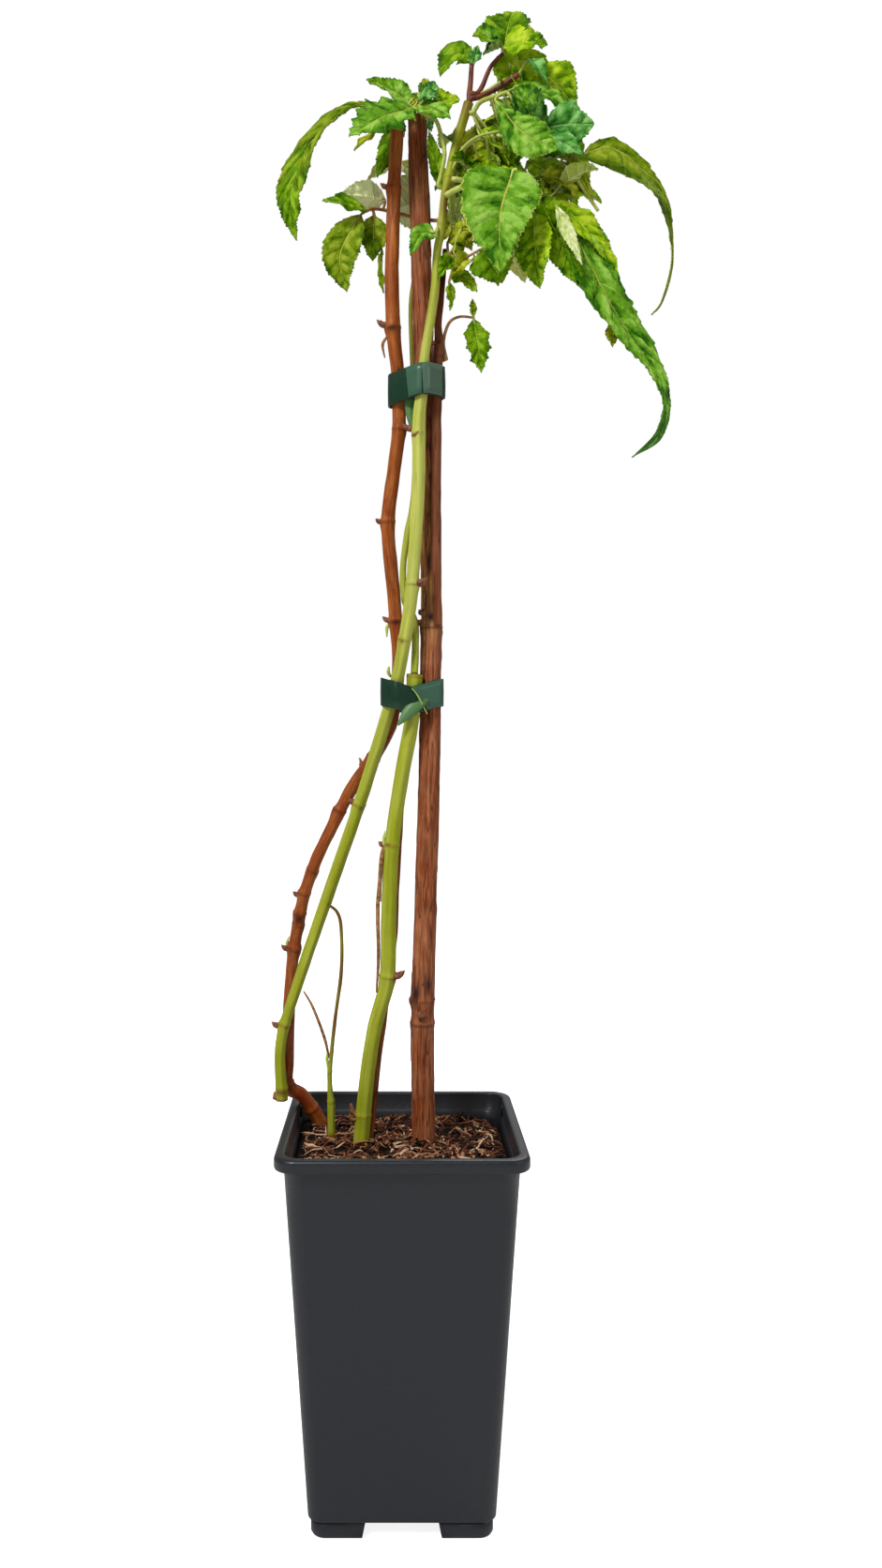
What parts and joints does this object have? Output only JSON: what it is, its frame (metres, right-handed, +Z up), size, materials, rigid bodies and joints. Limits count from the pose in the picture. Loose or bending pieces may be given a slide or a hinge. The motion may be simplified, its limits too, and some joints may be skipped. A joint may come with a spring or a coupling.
{
  "type": "raspberry plant in a square pot",
  "caption": "Young raspberry plant in a tall square nursery pot, its canes tied together, with drooping toothed leaves at the top.",
  "frame": {"origin": "on the ground under the middle of the whole plant's box, where the pot's feet stand", "axes": "+Z up; +X to the side that the long leaves reach out to; +Y to the back"},
  "size_m": [0.1736, 0.106, 0.6267],
  "materials": {
    "pot_plastic": "satin moulded plastic, dark grey",
    "compost": "damp dark brown fibrous compost with pale grains",
    "old_bark": "red-brown peeling bark, dull",
    "side_bark": "red-brown bark, smooth",
    "green_bark": "yellow-green ridged bark, satin",
    "brown_bark": "orange-brown bark, satin",
    "dry_bark": "tan dried stem, dull",
    "tie_tape": "dark green soft plastic tape, glossy",
    "foliage": "veined green leaves with pale undersides"
  },
  "bodies": {
    "root": {"pot": "pot_plastic", "compost": "compost", "old_cane": "old_bark", "side_cane": "side_bark", "green_cane": "green_bark", "brown_cane": "brown_bark", "middle_cane": "green_bark", "middle_shoot": "green_bark", "thin_shoot": "green_bark", "dry_stem": "dry_bark", "tie_lower": "tie_tape", "tie_upper": "tie_tape", "top_leaves": "foliage", "upper_right_leaves": "foliage", "outer_right_leaves": "foliage", "upper_left_leaves": "foliage", "lower_left_leaves": "foliage", "front_leaf": "foliage", "right_leaves": "foliage", "middle_leaves": "foliage", "stem_leaves": "foliage", "cane_leaf": "foliage", "side_shoot_leaves": "foliage", "back_leaves": "foliage", "back_left_leaves": "foliage", "back_right_leaves": "foliage"}
  },
  "joints": []
}
